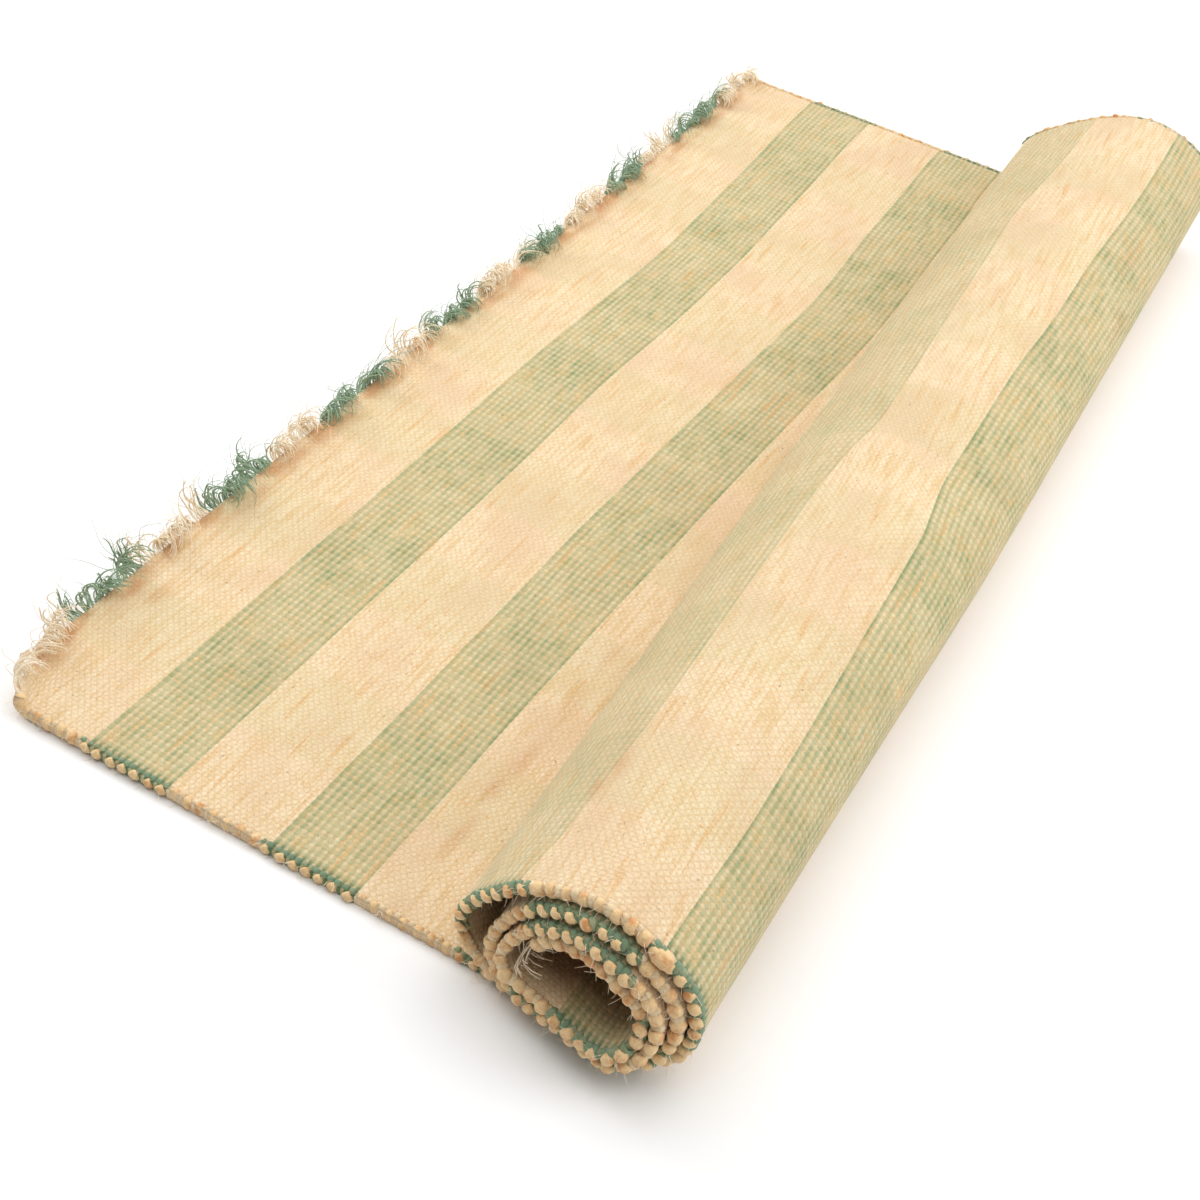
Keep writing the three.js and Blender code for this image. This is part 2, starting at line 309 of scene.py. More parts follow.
def ramp_between(tree, value, low, high):
    """0 below low, 1 above high, with a soft step between them"""
    made = add(tree, "ShaderNodeMapRange", {"Value": value, "From Min": low, "From Max": high})
    made.interpolation_type = "SMOOTHSTEP"
    return made.outputs[0]


def mix(tree, share, a, b, blend="MIX"):
    made = add(tree, "ShaderNodeMix", data_type="RGBA", blend_type=blend)
    feed(tree, made.inputs, {0: share, 6: a, 7: b})
    return made.outputs[2]


def lerp(tree, share, a, b):
    """A number between a and b"""
    return add(tree, "ShaderNodeMix", {0: share, 2: a, 3: b}).outputs[0]


def noise(tree, vector, scale, detail=2.0, roughness=0.5):
    sockets = {"Vector": vector, "Scale": scale, "Detail": detail, "Roughness": roughness}
    return add(tree, "ShaderNodeTexNoise", sockets).outputs[0]


def stretched(tree, vector, scale):
    return add(tree, "ShaderNodeMapping", {"Vector": vector, "Scale": scale}).outputs[0]


def rgb(red, green, blue):
    """An sRGB colour of 0 to 255 as Blender's linear values"""
    straight = []
    for value in (red, green, blue):
        v = value / 255
        straight.append(v / 12.92 if v <= 0.04045 else ((v + 0.055) / 1.055) ** 2.4)
    return (*straight, 1.0)


def group(name, inputs, outputs):
    tree = bpy.data.node_groups.new(name, "ShaderNodeTree")
    for label, kind in inputs:
        tree.interface.new_socket(label, in_out="INPUT", socket_type=kind)
    for label, kind in outputs:
        tree.interface.new_socket(label, in_out="OUTPUT", socket_type=kind)
    return tree, tree.nodes.new("NodeGroupInput").outputs, tree.nodes.new("NodeGroupOutput").inputs


def use_group(tree, which, inputs):
    made = tree.nodes.new("ShaderNodeGroup")
    made.node_tree = which
    feed(tree, made.inputs, inputs)
    return made.outputs


# %% [markdown]
# ## Jute fibre
# Jute is a bundle of coarse, slightly glossy bast fibres of uneven colour, from straw to tan. The
# same unevenness is wanted on the cloth and on every loose yarn, so it is one node group: it
# takes a colour and returns it lighter and darker by turns, with a fine height for the bump.

# %% Jute fibre group
FLOAT, COLOUR, VECTOR = "NodeSocketFloat", "NodeSocketColor", "NodeSocketVector"
fibre, given, result = group(
    "jute fibre",
    [("Vector", VECTOR), ("Colour", COLOUR), ("Tan", COLOUR), ("Amount", FLOAT)],
    [("Colour", COLOUR), ("Height", FLOAT)],
)
blotches = noise(fibre, given["Vector"], 90.0, 3.0, 0.6)
strands = noise(fibre, given["Vector"], 900.0, 2.0, 0.6)
tan_share = calc(fibre, "MULTIPLY", ramp_between(fibre, blotches, 0.46, 0.72), given["Amount"])
tinted = mix(fibre, tan_share, given["Colour"], given["Tan"])
lightness = {"Value": strands, "From Min": 0.3, "From Max": 0.7, "To Min": 0.88, "To Max": 1.08}
light = add(fibre, "ShaderNodeMapRange", lightness).outputs[0]
fibre.links.new(mix(fibre, 1.0, tinted, light, "MULTIPLY"), result["Colour"])
fibre.links.new(strands, result["Height"])
print("fibre nodes", len(fibre.nodes))

# %% [markdown]
# ## The striped weave
# The weft runs from selvage to selvage, so the stripes follow it. Each pick goes over one warp
# and under the next, and the pick beside it does the opposite, so the tops of the yarns lie in a
# staggered lattice. Two sine waves draw it: one repeats with every pair of picks, 5.55 mm, and
# one with every pair of warps, 6.7 mm. Their difference is far from nought on each yarn top.
# The stripes of the real rug wander a little and bend where the cloth is rolled and dented, so
# short lists say how far they have shifted. Some of the warp is green as well, which turns the
# cloth a little greener in seven zones. All of this follows the cloth around the roll, so it
# reads the UV map, whose U is the length along the warp and whose V is the place across, both in
# metres. The sum that tells green from natural is needed three times, so it is a node group.

# %% Values of the weave, in millimetres
WIDTH_MM = 1200.0
LENGTH_MM = 1810.0
PICK_PAIR = 5.55
RIB = 6.7
STRIPE_ENDS = [
    78, 155.5, 234, 309, 391, 487, 580, 668, 757, 840, 930,
    1020, 1100, 1185, 1272, 1360, 1447, 1535, 1625, 1712,
]
PALE_STRIPES = {757: 0.62}
EDGE_LINE = 1.6
WARP_ZONE = 157.0
WARP_ZONE_FROM = 77.0
WARP_ZONE_WIDE = 83.0

# places across the cloth, and how far the stripes have shifted there: on the lying stretch, on
# the right and top of the outer turn, and on its left slope
FLAT_BEND = [(0, 0), (600, -2), (820, -7), (950, -1), (1100, 6), (1200, 10)]
RIGHT_BEND = [(0, 12), (130, 19), (450, 17), (540, 11), (740, 24), (970, 39), (1200, 50)]
LEFT_BEND = [(0, 0), (44, 10), (160, 18), (480, 25), (590, 41), (850, 42), (1000, 47), (1180, 72)]
LOWEST_SHIFT = -10.0
SHIFT_SPAN = 90.0

CREAM = rgb(240, 220, 187)
STRAW = rgb(226, 196, 148)
ROSY = rgb(226, 196, 160)
TAN = rgb(222, 172, 112)
# painted shade: the orange-brown darkening of the curled lip at the fringed end
LIP_SHADE = rgb(196, 136, 84)
SAGE = rgb(134, 152, 108)
DEEP_SAGE = rgb(96, 128, 94)
OLIVE = rgb(206, 198, 148)
BROWN = rgb(140, 104, 78)
STREAK = rgb(204, 146, 96)
TAN_DOT = rgb(224, 186, 134)
WARM = rgb(232, 188, 124)
# painted shade for the inner turns of the roll
SHADOW = rgb(136, 106, 80)
# painted shade between the yarn tops
CREVICE_SHADE = rgb(222, 200, 168)

# %% Striped weave material
weave = bpy.data.materials.new("striped jute weave")
weave.use_nodes = True
tree = weave.node_tree
shader = tree.nodes["Principled BSDF"]
place = add(tree, "ShaderNodeUVMap", uv_map="weave").outputs[0]
in_mm = stretched(tree, place, (1000.0, 1000.0, 1.0))
split = add(tree, "ShaderNodeSeparateXYZ", {0: in_mm}).outputs
cloth_along = split[0]
cloth_across = split[1]


def patches(along_mm, across_mm, detail=2.0, roughness=0.55):
    """Noise whose spots are about this long along the warp and across it"""
    shrunk = stretched(tree, in_mm, (1 / along_mm, 1 / across_mm, 1.0))
    return noise(tree, shrunk, 1.0, detail, roughness)


def bend_of(stops):
    """How far a line of the weave has shifted, from places across the cloth and their shifts"""
    ramp = add(tree, "ShaderNodeValToRGB", {0: calc(tree, "DIVIDE", cloth_across, WIDTH_MM)})
    ramp.color_ramp.interpolation = "CARDINAL"
    for count, (place_across, shift) in enumerate(stops):
        share = (shift - LOWEST_SHIFT) / SHIFT_SPAN
        element = ramp.color_ramp.elements[count] if count < 2 else ramp.color_ramp.elements.new(1.0)
        element.position = place_across / WIDTH_MM
        element.color = (share, share, share, 1)
    return calc(tree, "MULTIPLY_ADD", ramp.outputs[0], SHIFT_SPAN, LOWEST_SHIFT)


on_left = ramp_between(tree, cloth_along, 660.0, 735.0)
on_roll = ramp_between(tree, cloth_along, 400.0, 560.0)
inside = ramp_between(tree, cloth_along, 900.0, 1000.0)
bend = lerp(tree, on_left, bend_of(RIGHT_BEND), bend_of(LEFT_BEND))
bend = lerp(tree, on_roll, bend_of(FLAT_BEND), bend)
bend = lerp(tree, inside, bend, 0.0)
wander = calc(tree, "MULTIPLY_ADD", patches(120, 260, 1.0), 8.0, -4.0)
along = calc(tree, "ADD", calc(tree, "ADD", cloth_along, wander), bend)
sway = calc(tree, "MULTIPLY_ADD", patches(300, 160, 1.0), 10.0, -5.0)
across = calc(tree, "ADD", cloth_across, sway)

stripe, given, result = group("green stripe at", [("Along", FLOAT)], [("Share", FLOAT)])
stripes = add(stripe, "ShaderNodeValToRGB", {0: calc(stripe, "DIVIDE", given["Along"], LENGTH_MM)})
stripes.color_ramp.interpolation = "CONSTANT"
stripes.color_ramp.elements[0].color = (0, 0, 0, 1)
stripes.color_ramp.elements[1].position = STRIPE_ENDS[0] / LENGTH_MM
stripes.color_ramp.elements[1].color = (1, 1, 1, 1)
for count, end in enumerate(STRIPE_ENDS[1:]):
    tone = 0.0 if count % 2 == 0 else PALE_STRIPES.get(end, 1.0)
    stripes.color_ramp.elements.new(end / LENGTH_MM).color = (tone, tone, tone, 1)
stripe.links.new(stripes.outputs[0], result["Share"])
green_band = use_group(tree, stripe, {"Along": along})["Share"]
just_before = use_group(tree, stripe, {"Along": calc(tree, "SUBTRACT", along, EDGE_LINE)})["Share"]
just_after = use_group(tree, stripe, {"Along": calc(tree, "ADD", along, EDGE_LINE)})["Share"]
edge_line = calc(tree, "ABSOLUTE", calc(tree, "SUBTRACT", just_after, just_before))
print("stripes", len(STRIPE_ENDS) + 1)

# %% Lattice of yarn tops, and the zones of green warp
pick_wave = calc(tree, "SINE", calc(tree, "MULTIPLY", along, 2 * math.pi / PICK_PAIR))
rib_wave = calc(tree, "SINE", calc(tree, "MULTIPLY", across, 2 * math.pi / RIB))
lattice = calc(tree, "MULTIPLY", calc(tree, "SUBTRACT", rib_wave, pick_wave), 0.5)
crown = calc(tree, "ABSOLUTE", lattice)
worn = ramp_between(tree, patches(16, 8, 2.0), 0.30, 0.66)
rib_top = calc(tree, "ABSOLUTE", rib_wave)
zone_place = calc(tree, "DIVIDE", calc(tree, "SUBTRACT", across, WARP_ZONE_FROM), WARP_ZONE)
zone_fract = calc(tree, "FRACT", calc(tree, "ADD", zone_place, 1.0))
zone_in = ramp_between(tree, zone_fract, 0.0, 0.03)
zone_out = ramp_between(tree, zone_fract, WARP_ZONE_WIDE / WARP_ZONE - 0.03, WARP_ZONE_WIDE / WARP_ZONE)
green_warp = calc(tree, "MULTIPLY", zone_in, opposite(tree, zone_out))
before_first = ramp_between(tree, across, 70.0, 78.0)
green_warp = calc(tree, "MULTIPLY", green_warp, before_first)
after_last = opposite(tree, ramp_between(tree, across, 1102.0, 1108.0))
green_warp = calc(tree, "MULTIPLY", green_warp, after_last)
print("ribs", round(WIDTH_MM / RIB), "picks", round(2 * LENGTH_MM / PICK_PAIR))

# %% Colour of the natural and the green stripes
fine_picks = patches(2.8, 45)
fine_warps = patches(40, 3.3)
hairs_about = patches(2.2, 3.0, 3.0, 0.7)
cream = mix(tree, ramp_between(tree, fine_picks, 0.38, 0.72), CREAM, STRAW)
straw_warps = calc(tree, "MULTIPLY", ramp_between(tree, fine_warps, 0.45, 0.75), 0.4)
cream = mix(tree, straw_warps, cream, STRAW)
between_crowns = opposite(tree, ramp_between(tree, crown, 0.0, 0.55))
dots = calc(tree, "MULTIPLY", between_crowns, calc(tree, "MULTIPLY_ADD", worn, 0.42, 0.06))
cream = mix(tree, dots, cream, TAN_DOT)
rosy_share = calc(tree, "MULTIPLY", ramp_between(tree, patches(60, 90), 0.42, 0.7), 0.7)
cream = mix(tree, rosy_share, cream, ROSY)
in_zone = calc(tree, "MULTIPLY", green_warp, calc(tree, "MULTIPLY_ADD", hairs_about, 0.5, -0.05))
natural = mix(tree, in_zone, cream, OLIVE)

rows = ramp_between(tree, calc(tree, "MULTIPLY", pick_wave, -1.0), -0.8, 0.9)
dashes = ramp_between(tree, lattice, -0.3, 0.8)
dash = calc(tree, "ADD", calc(tree, "MULTIPLY", rows, 0.42), calc(tree, "MULTIPLY", dashes, 0.58))
blotch = calc(tree, "MULTIPLY_ADD", patches(20, 48, 3.0), 1.9, -0.50, clamp=True)
ragged = calc(tree, "MULTIPLY_ADD", patches(5, 14, 2.0, 0.6), 2.2, -0.6, clamp=True)
fade = calc(tree, "ADD", calc(tree, "MULTIPLY", blotch, 0.55), calc(tree, "MULTIPLY", ragged, 0.45))
green_share = calc(tree, "MULTIPLY", dash, calc(tree, "MULTIPLY_ADD", fade, 0.46, 0.14))
wash = calc(tree, "MULTIPLY", calc(tree, "MULTIPLY_ADD", green_warp, 0.14, 0.27), fade)
green_share = calc(tree, "ADD", green_share, wash)
edge_share = calc(tree, "MULTIPLY", calc(tree, "MULTIPLY", edge_line, fade), 0.34)
green_share = calc(tree, "ADD", green_share, edge_share)
ground = mix(tree, 0.34, cream, OLIVE)
warm_share = calc(tree, "MULTIPLY", ramp_between(tree, patches(8, 26, 3.0, 0.6), 0.52, 0.68), 0.5)
ground = mix(tree, warm_share, ground, WARM)
striped = mix(tree, calc(tree, "MULTIPLY", green_share, 1.25, clamp=True), ground, SAGE)
colour = mix(tree, green_band, natural, striped)
print("weave nodes up to its colours", len(tree.nodes))

# %% Slubs, flecks, the edges of the cloth, and painted shade on the curled lip and deep in the roll
slubs = calc(tree, "MULTIPLY", ramp_between(tree, patches(5.0, 70, 3.0), 0.57, 0.72), 0.6)
colour = mix(tree, slubs, colour, TAN)
spots = calc(tree, "MULTIPLY", ramp_between(tree, patches(4.0, 9.0, 3.0, 0.65), 0.60, 0.72), 0.65)
colour = mix(tree, spots, colour, TAN)
dark_spots = calc(tree, "MULTIPLY", ramp_between(tree, patches(2.8, 5.0, 1.0), 0.70, 0.78), 0.5)
colour = mix(tree, dark_spots, colour, BROWN)
painted = add(tree, "ShaderNodeAttribute", attribute_name="slub").outputs["Fac"]
broken = calc(tree, "MULTIPLY", painted, calc(tree, "MULTIPLY_ADD", hairs_about, 3.4, -1.15), clamp=True)
colour = mix(tree, broken, colour, STREAK)
# painted shade: within about 24 mm of the fringed end, patches of the colour turn orange-brown where the
# lip curls up
near_end = opposite(tree, ramp_between(tree, cloth_along, 3.0, 24.0))
curled = calc(tree, "MULTIPLY", near_end, ramp_between(tree, patches(30, 50), 0.42, 0.62))
colour = mix(tree, calc(tree, "MULTIPLY", curled, 0.75), colour, LIP_SHADE)
at_selvage = opposite(tree, ramp_between(tree, cloth_across, 2.0, 14.0))
turned_rows = calc(tree, "MULTIPLY_ADD", rows, 0.7, 0.3)
turned_green = calc(tree, "MULTIPLY", calc(tree, "MULTIPLY", at_selvage, green_band), turned_rows)
colour = mix(tree, turned_green, colour, DEEP_SAGE)
# painted shade: beyond about 850 mm along the warp and away from the selvages, the colour is multiplied
# darker, as the inner turns of the roll lie in shade
from_middle = calc(tree, "ABSOLUTE", calc(tree, "SUBTRACT", cloth_across, WIDTH_MM / 2))
off_ends = ramp_between(tree, from_middle, 598.0, 560.0)
deep_in_shade = calc(tree, "MULTIPLY", ramp_between(tree, cloth_along, 850.0, 930.0), off_ends)
in_shadow = mix(tree, 1.0, colour, SHADOW, "MULTIPLY")
colour = mix(tree, calc(tree, "MULTIPLY", deep_in_shade, 0.8), colour, in_shadow)
print("weave nodes up to its flecks", len(tree.nodes))

# %% Relief of the weave, painted shade between its yarn tops, and the finish
rib_part = calc(tree, "MULTIPLY", rib_top, 0.38)
yarn_height = calc(tree, "MULTIPLY_ADD", ramp_between(tree, crown, 0.0, 0.7), 0.62, rib_part)
# painted shade: where the yarn height is low, between the yarn tops, the colour is multiplied darker, more
# so in the green stripes
crevice_shade_share = calc(tree, "MULTIPLY_ADD", green_band, 0.10, 0.18)
crevice_shade = calc(tree, "MULTIPLY", opposite(tree, yarn_height), crevice_shade_share, clamp=True)
colour = mix(tree, crevice_shade, colour, mix(tree, 1.0, colour, CREVICE_SHADE, "MULTIPLY"))
shade = calc(tree, "MULTIPLY_ADD", hairs_about, 0.36, 0.82)
grey = add(tree, "ShaderNodeCombineColor", {0: shade, 1: shade, 2: shade}).outputs[0]
colour = mix(tree, 1.0, colour, grey, "MULTIPLY")
hairs = use_group(tree, fibre, {"Vector": place, "Colour": colour, "Tan": STRAW, "Amount": 0.2})
tree.links.new(hairs["Colour"], shader.inputs["Base Color"])
height = calc(tree, "ADD", yarn_height, calc(tree, "MULTIPLY", hairs_about, 0.9))
bump = add(tree, "ShaderNodeBump", {"Height": height, "Distance": 0.0009, "Strength": 0.45})
tree.links.new(bump.outputs[0], shader.inputs["Normal"])
shader.inputs["Roughness"].default_value = 0.92
shader.inputs["Sheen Weight"].default_value = 0.12
shader.inputs["Specular IOR Level"].default_value = 0.2
print("weave nodes", len(tree.nodes))

# %% [markdown]
# ## The cloth
# The cloth is one sheet. A flat grid is the simplest start, because its two directions are the
# cloth's own: X along the warp and Y across. Each corner of the grid is then carried to its place
# in the winding, and a Solidify modifier gives the sheet its 7 mm.

# %% Cloth sheet
STEPS_ALONG = 330
STEPS_ACROSS = 138


def gentle_lift(s, y):
    """Low swells of a cloth that has not been pressed flat"""
    swell = np.sin(y * 9.0 + 1.3 * np.sin(s * 7.0)) * np.sin(s * 11.0 + 0.8)
    return 0.0012 * (1 + swell) * smooth(s / 0.05) * smooth((flat_length(y) - s) / 0.06)


def swell_out(s, y):
    """Folds that spread from the dent, and slack in the outer turn, both outwards only"""
    off_s = s - DENT_S
    off_y = y - DENT_Y
    far_off = np.hypot(off_s, off_y) + 1e-9
    folds = 0.5 + 0.5 * np.cos(5 * np.arctan2(off_y, off_s) + 0.9)
    ring = far_off / 0.045 * np.exp(1 - far_off / 0.045)
    outer_turn = smooth((s - 0.55) / 0.06) * smooth((0.80 - s) / 0.06)
    slack = 0.5 + 0.5 * np.sin(y * 13 + 2.0 * np.sin(s * 9)) * np.sin(s * 21 + y * 3)
    return -outer_turn * (0.0022 * folds * ring + 0.0014 * slack * smooth((y - NEAR) / 0.08))


bm = bmesh.new()
uv_layer = bm.loops.layers.uv.new("weave")
slub_layer = bm.verts.layers.float.new("slub")
bmesh.ops.create_grid(bm, x_segments=STEPS_ALONG, y_segments=STEPS_ACROSS, size=1.0)
grid = np.array([vert.co for vert in bm.verts])
cloth_s = (grid[:, 0] + 1) / 2 * LENGTH
cloth_y = grid[:, 1] * WIDTH / 2
places = cloth_point(cloth_s, cloth_y, swell_out(cloth_s, cloth_y))
places[:, 2] += gentle_lift(cloth_s, cloth_y)

# slubs that stand out: s, y and length in metres, then how strong they are
SLUBS = [
    (0.337, -0.300, 0.040, 0.55),
    (0.338, -0.370, 0.050, 0.75),
    (0.338, -0.430, 0.040, 0.95),
    (0.335, -0.465, 0.030, 1.0),
    (0.339, -0.515, 0.050, 0.8),
    (0.745, -0.480, 0.030, 0.9),
    (0.751, -0.506, 0.020, 0.9),
    (0.192, -0.408, 0.016, 0.6),
    (0.225, -0.490, 0.016, 0.7),
    (0.025, -0.452, 0.030, 0.9),
    (0.610, 0.360, 0.060, 0.5),
    (0.590, 0.250, 0.050, 0.5),
]
slub = np.zeros(len(cloth_s))
for at_s, at_y, long, strong in SLUBS:
    shape = np.exp(-((cloth_s - at_s) / 0.0045) ** 2 - ((cloth_y - at_y) / (long / 2)) ** 2)
    slub = np.maximum(slub, strong * shape)
for i, vert in enumerate(bm.verts):
    vert.co = places[i]
    vert[slub_layer] = slub[i]
for face in bm.faces:
    face.smooth = True
    for loop in face.loops:
        i = loop.vert.index
        loop[uv_layer].uv = (cloth_s[i], cloth_y[i] - NEAR)
cloth = mesh_object("woven_cloth", bm)
cloth.data.materials.append(weave)
body = cloth.modifiers.new("thickness", "SOLIDIFY")
body.thickness = THICK
body.offset = 0.0
print("cloth quads", len(cloth.data.polygons))

# %% [markdown]
# ## Yarn finish
# Loose yarns are seen close up along the selvages and in the fringe. They share one recipe with
# their own colours: uneven jute fibre with a shallow bump.

# %% Yarn materials
def yarn_material(name, colour, tan, amount):
    material = bpy.data.materials.new(name)
    material.use_nodes = True
    tree = material.node_tree
    shader = tree.nodes["Principled BSDF"]
    where = add(tree, "ShaderNodeTexCoord").outputs["Object"]
    hairs = use_group(tree, fibre, {"Vector": where, "Colour": colour, "Tan": tan, "Amount": amount})
    tree.links.new(hairs["Colour"], shader.inputs["Base Color"])
    bump = add(tree, "ShaderNodeBump", {"Height": hairs["Height"], "Distance": 0.0005, "Strength": 0.6})
    tree.links.new(bump.outputs[0], shader.inputs["Normal"])
    shader.inputs["Roughness"].default_value = 0.9
    shader.inputs["Sheen Weight"].default_value = 0.2
    shader.inputs["Specular IOR Level"].default_value = 0.25
    return material


knob_finish = yarn_material("selvage yarn, natural", rgb(240, 206, 154), rgb(216, 152, 94), 1.0)
pale_turn_finish = yarn_material("selvage yarn, pale", rgb(236, 214, 174), rgb(216, 178, 128), 0.9)
green_knob_finish = yarn_material("selvage yarn, green", rgb(122, 146, 116), rgb(176, 176, 136), 0.8)
pale_end_finish = yarn_material("fringe yarn, natural", rgb(250, 236, 210), rgb(230, 198, 156), 0.8)
green_end_finish = yarn_material("fringe yarn, green", rgb(146, 172, 144), rgb(190, 196, 164), 0.6)

# %% [markdown]
# ## Selvages
# Where the thick weft turns back at the edge it makes a row of knobs, about 11 mm apart. One
# knob is a fat yarn bent round the edge, so a small disc is spun through part of a circle. In a
# natural stripe wide turns alternate with thin pale ones. In a green stripe two thin green turns
# share each step with one slanting natural oval. The lying edge has slightly smaller knobs.

# %% One turn of yarn round the edge
KNOB_PITCH = 0.0111
KNOB_REACH = 0.0032
FLAT_SELVAGE = 0.42


def knob_mesh(name, half_wide, half_thick, bend):
    """A yarn of this half width and half thickness, bent through this angle round the Y axis"""
    bm = bmesh.new()
    ring = bmesh.ops.create_circle(bm, cap_ends=True, segments=7, radius=1.0)["verts"]
    bmesh.ops.transform(bm, matrix=Matrix.Diagonal((half_wide, half_thick, 1, 1)), verts=ring)
    bmesh.ops.rotate(bm, cent=(0, 0, 0), matrix=Matrix.Rotation(math.pi / 2, 3, "Z"), verts=ring)
    bmesh.ops.translate(bm, vec=(KNOB_REACH, 0, 0), verts=ring)
    start = Matrix.Rotation(math.radians(-bend / 2), 3, "Y")
    bmesh.ops.rotate(bm, cent=(0, 0, 0), matrix=start, verts=ring)
    bmesh.ops.spin(
        bm, geom=bm.faces[:], cent=(0, 0, 0), axis=(0, 1, 0), dvec=(0, 0, 0),
        angle=math.radians(bend), steps=6, use_merge=False, use_duplicate=False,
    )
    bmesh.ops.recalc_face_normals(bm, faces=bm.faces[:])
    mesh = bpy.data.meshes.new(name)
    bm.to_mesh(mesh)
    bm.free()
    return mesh


wide_knob = knob_mesh("wide knob", 0.0042, 0.0022, 215)
thin_knob = knob_mesh("thin knob", 0.0034, 0.0017, 220)
oval_knob = knob_mesh("oval knob", 0.0036, 0.0021, 130)
print("faces in a knob", len(wide_knob.polygons))


# %% Rows of knobs along both selvages
def in_green_stripe(s):
    return sum(s * 1000 > end for end in STRIPE_ENDS) % 2 == 1


def edge_frame(s, side):
    """Matrix whose X points out of the selvage, Y along it and Z up out of the cloth"""
    y = side * WIDTH / 2
    middle = Vector(cloth_point(s, y))
    middle.z += float(gentle_lift(s, y))
    up = (Vector(cloth_point(s, y, 0.001)) - Vector(cloth_point(s, y, -0.001))).normalized()
    out = Vector((0, side, 0))
    run = up.cross(out).normalized()
    frame_at = Matrix((out, run, up)).transposed().to_4x4()
    frame_at.translation = middle
    return frame_at


chance = random.Random(5)
natural_turns = bmesh.new()
pale_turns = bmesh.new()
green_turns = bmesh.new()


def lay_knob(into, knob, s, side, grow, tilt, inward):
    """Add a copy of a knob at s on one selvage, tilted and sunk a little into the edge"""
    if s < FLAT_SELVAGE:
        grow *= 0.86
        inward += 0.0012
    turned = Matrix.Rotation(0.5 * tilt, 4, "Z") @ Matrix.Rotation(tilt, 4, "X")
    sized = Matrix.Diagonal((grow, grow * chance.uniform(0.9, 1.15), chance.uniform(0.88, 1.08), 1.0))
    shifted = Matrix.Translation((-inward, 0, chance.uniform(-0.0005, 0.0005)))
    copy = knob.copy()
    copy.transform(edge_frame(s, side) @ shifted @ turned @ sized)
    into.from_mesh(copy)
    bpy.data.meshes.remove(copy)


for side in (-1, 1):
    for k in range(int(LENGTH / KNOB_PITCH)):
        s = (k + 0.5) * KNOB_PITCH + chance.uniform(-0.0012, 0.0012)
        if in_green_stripe(s):
            for half in (-1, 1):
                at = s + 0.25 * half * KNOB_PITCH
                lay_knob(green_turns, thin_knob, at, side, chance.uniform(0.85, 1.05), 0.3, 0.0026)
            grow = chance.uniform(0.95, 1.25)
            tilt = chance.uniform(0.5, 0.9)
            lay_knob(natural_turns, oval_knob, s, side, grow, tilt, 0.0012)
        else:
            inward = chance.uniform(0.0016, 0.0028)
            tilt = chance.uniform(0.1, 0.6)
            lay_knob(natural_turns, wide_knob, s, side, chance.uniform(0.85, 1.2), tilt, inward)
            at = s + 0.0055
            lay_knob(pale_turns, thin_knob, at, side, chance.uniform(0.7, 1.0), 0.2, 0.0030)

# one knob at the top of the roll's near end is much fatter than the rest
lay_knob(natural_turns, wide_knob, 0.656, -1, 1.6, 0.3, 0.001)
for turns in (natural_turns, pale_turns, green_turns):
    bmesh.ops.recalc_face_normals(turns, faces=turns.faces[:])
    for vert in turns.verts:
        vert.co.z = max(vert.co.z, 0.0002)
    for face in turns.faces:
        face.smooth = True
selvage_natural = mesh_object("selvage_turns_natural", natural_turns)
selvage_pale = mesh_object("selvage_turns_pale", pale_turns)
selvage_green = mesh_object("selvage_turns_green", green_turns)
selvage_natural.data.materials.append(knob_finish)
selvage_pale.data.materials.append(pale_turn_finish)
selvage_green.data.materials.append(green_knob_finish)
for selvage in (selvage_natural, selvage_pale, selvage_green):
    print(selvage.name, len(selvage.data.polygons), "faces")

# %% [markdown]
# ## Fringe
# The warp ends hang out of the cloth in wisps that curl up and back over the lip. Each is a thin
# bent tube, so a curve with a round bevel makes it: only the line of its middle is needed. All
# wisps of one colour are one curve object, turned into a mesh once it is done.

# %% Wisps from their middle lines
def wisps(name, paths, finish, thick):
    """One mesh of bent tubes that thin out along their paths"""
    data = bpy.data.curves.new(name, "CURVE")
    data.dimensions = "3D"
    data.bevel_depth = thick
    data.bevel_resolution = 1
    data.use_fill_caps = True
    for path in paths:
        spline = data.splines.new("POLY")
        spline.points.add(len(path) - 1)
        for i, (point, place) in enumerate(zip(spline.points, path)):
            point.co = (*place, 1.0)
            point.radius = 1.0 - 0.65 * (i / (len(path) - 1)) ** 1.5
    drawn = bpy.data.objects.new(name + "_line", data)
    bpy.context.collection.objects.link(drawn)
    mesh = bpy.data.meshes.new_from_object(drawn.evaluated_get(bpy.context.evaluated_depsgraph_get()))
    bpy.data.objects.remove(drawn)
    for polygon in mesh.polygons:
        polygon.use_smooth = True
    mesh.materials.clear()
    mesh.materials.append(finish)
    made = bpy.data.objects.new(name, mesh)
    bpy.context.collection.objects.link(made)
    print(name, len(paths), "wisps", len(mesh.polygons), "faces")
    return made


def top_of_cloth(x, y):
    """Height of the cloth's upper face under a point over its fringed end"""
    s = x - EDGE_X - CORNER_BACK * float(corner_share(y))
    return float(cloth_point(max(s, 0.0), y, THICK / 2)[2]) if s > -0.001 else 0.0


def outer_wisp(y, long, rise, curl, lean, thick):
    """A wisp that leaves the cloth's end, turning upwards and back as it goes"""
    path = [Vector(cloth_point(0.003, y, chance.uniform(-0.0015, 0.0025)))]
    path.append(Vector(cloth_point(-0.0015, y, chance.uniform(-0.001, 0.003))))
    steps = 10
    step = long / steps
    swing = chance.uniform(0, 6.3)
    for k in range(steps):
        last = path[-1]
        angle = rise + curl * k / steps
        aside = lean + 0.35 * math.sin(swing + k * 0.8)
        way = Vector((-math.cos(angle), aside, math.sin(angle))).normalized()
        spot = last + way * step
        spot.z = max(spot.z, thick * 1.1, top_of_cloth(spot.x, spot.y) + thick)
        path.append(spot)
    return path


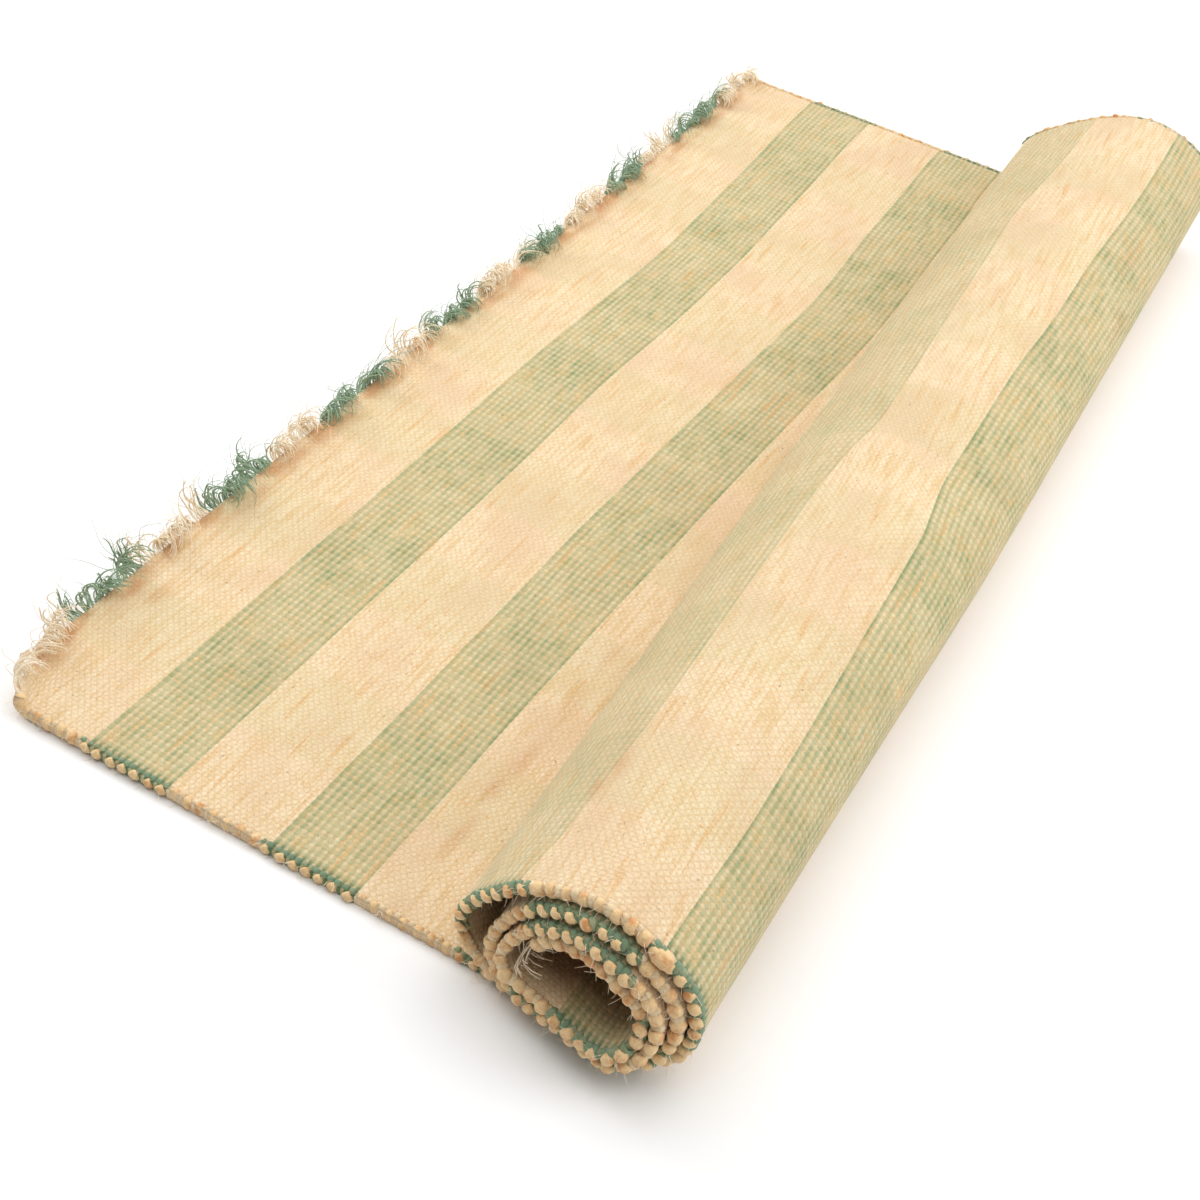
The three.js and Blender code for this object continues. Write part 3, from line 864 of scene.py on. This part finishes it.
GREEN_CLUMPS = [-0.480, -0.325, -0.168, -0.010, 0.147, 0.304, 0.461]
CLUMP_HALF = 0.042
TUFT = 0.0134
YARNS_IN_TUFT = 7
HAIRS_IN_TUFT = 7
YARN_THICK = 0.0008
HAIR_THICK = 0.0003
green_paths = []
green_hairs = []
pale_paths = []
pale_hairs = []
y = NEAR + 0.003
while y < -NEAR - 0.003:
    green_here = any(abs(y - centre) < CLUMP_HALF for centre in GREEN_CLUMPS)
    rise = chance.uniform(0.2, 1.2)
    curl = chance.uniform(1.8, 5.2)
    lean = chance.uniform(-0.8, 0.8)
    long = chance.uniform(0.026, 0.048)
    for yarn in range(YARNS_IN_TUFT):
        wisp = outer_wisp(
            y + TUFT * (yarn / YARNS_IN_TUFT + chance.uniform(-0.06, 0.06)),
            long * chance.uniform(0.6, 1.1),
            rise + chance.uniform(-0.25, 0.25),
            curl + chance.uniform(-0.6, 0.6),
            lean + chance.uniform(-0.25, 0.25),
            YARN_THICK,
        )
        (green_paths if green_here else pale_paths).append(wisp)
    for hair in range(HAIRS_IN_TUFT):
        wisp = outer_wisp(
            y + TUFT * chance.random(),
            long * chance.uniform(0.7, 1.35),
            rise + chance.uniform(-0.5, 0.5),
            curl + chance.uniform(-1.5, 1.0),
            lean + chance.uniform(-0.6, 0.6),
            HAIR_THICK,
        )
        (green_hairs if green_here else pale_hairs).append(wisp)
    y += TUFT
fringe_green = wisps("fringe_wisps_green", green_paths, green_end_finish, 0.0009)
fringe_pale = wisps("fringe_wisps_natural", pale_paths, pale_end_finish, YARN_THICK)
fine_green = wisps("fringe_hairs_green", green_hairs, green_end_finish, HAIR_THICK)
fine_pale = wisps("fringe_hairs_natural", pale_hairs, pale_end_finish, HAIR_THICK)


# %% Wisps at the inner end, in the hollow of the roll
def inner_wisp(y, long, sag):
    """A wisp that leaves the cloth's inner end and sags away from the turn outside it"""
    path = []
    for k in range(8):
        t = k / 7
        h = -0.001 + sag * t * t
        sway = 0.006 * math.sin(3 * t + y * 40)
        path.append(Vector(cloth_point(LENGTH - 0.003 + long * t, y + sway, h)))
    return path


inner_paths = []
y = NEAR + 0.002
while y < -NEAR - 0.003:
    for ply in range(2):
        at = y + chance.uniform(-0.002, 0.002)
        inner_paths.append(inner_wisp(at, chance.uniform(0.02, 0.042), chance.uniform(0.004, 0.012)))
    y += TUFT
for end in range(14):
    y = NEAR + chance.uniform(-0.001, 0.030)
    inner_paths.append(inner_wisp(y, chance.uniform(0.030, 0.052), chance.uniform(0.006, 0.020)))
fringe_inner = wisps("fringe_wisps_inner", inner_paths, pale_end_finish, 0.0007)

# %% [markdown]
# ## Loose fibres
# Jute sheds: short pale hairs stand off the knobs all along the selvages. They are the finest
# wisps of all, a few points each, because there are hundreds of them.

# %% Hairs along the selvages
loose_paths = []
for hair in range(620):
    side = chance.choice((-1, -1, 1))
    at = edge_frame(chance.uniform(0.004, LENGTH - 0.004), side)
    start = at @ Vector((-0.001, 0, chance.uniform(-0.003, 0.003)))
    way = at.to_3x3() @ Vector((chance.uniform(0.3, 1.0), chance.uniform(-1, 1), chance.uniform(-0.7, 0.9)))
    bend = Vector((chance.uniform(-1, 1), 0, chance.uniform(-1, 0.6)))
    long = chance.uniform(0.005, 0.013)
    path = []
    for k in range(5):
        spot = start + way.normalized() * long * k / 4 + bend * long * 0.35 * (k / 4) ** 2
        spot.z = max(spot.z, 0.0004)
        path.append(spot)
    loose_paths.append(path)
loose_hairs = wisps("selvage_hairs", loose_paths, pale_end_finish, 0.00022)

# %% [markdown]
# ## Attaching the pieces
# Every new piece is attached to the root body, and the parts of the imported model that the new pieces
# stand for are hidden.

# %% Attach the pieces, and hide the parts they stand for
def nodes_like(start):
    return sorted(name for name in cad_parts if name.startswith(start))


pieces = [
    cloth, selvage_natural, selvage_pale, selvage_green, fringe_green, fringe_pale,
    fine_green, fine_pale, fringe_inner, loose_hairs,
]
for piece in pieces:
    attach(piece, "root")
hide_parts("rug_cloth")
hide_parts(*nodes_like("fringe_green_"))
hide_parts(*nodes_like("fringe_natural_"))
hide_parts("fringe_inner")
print("pieces", len(pieces))
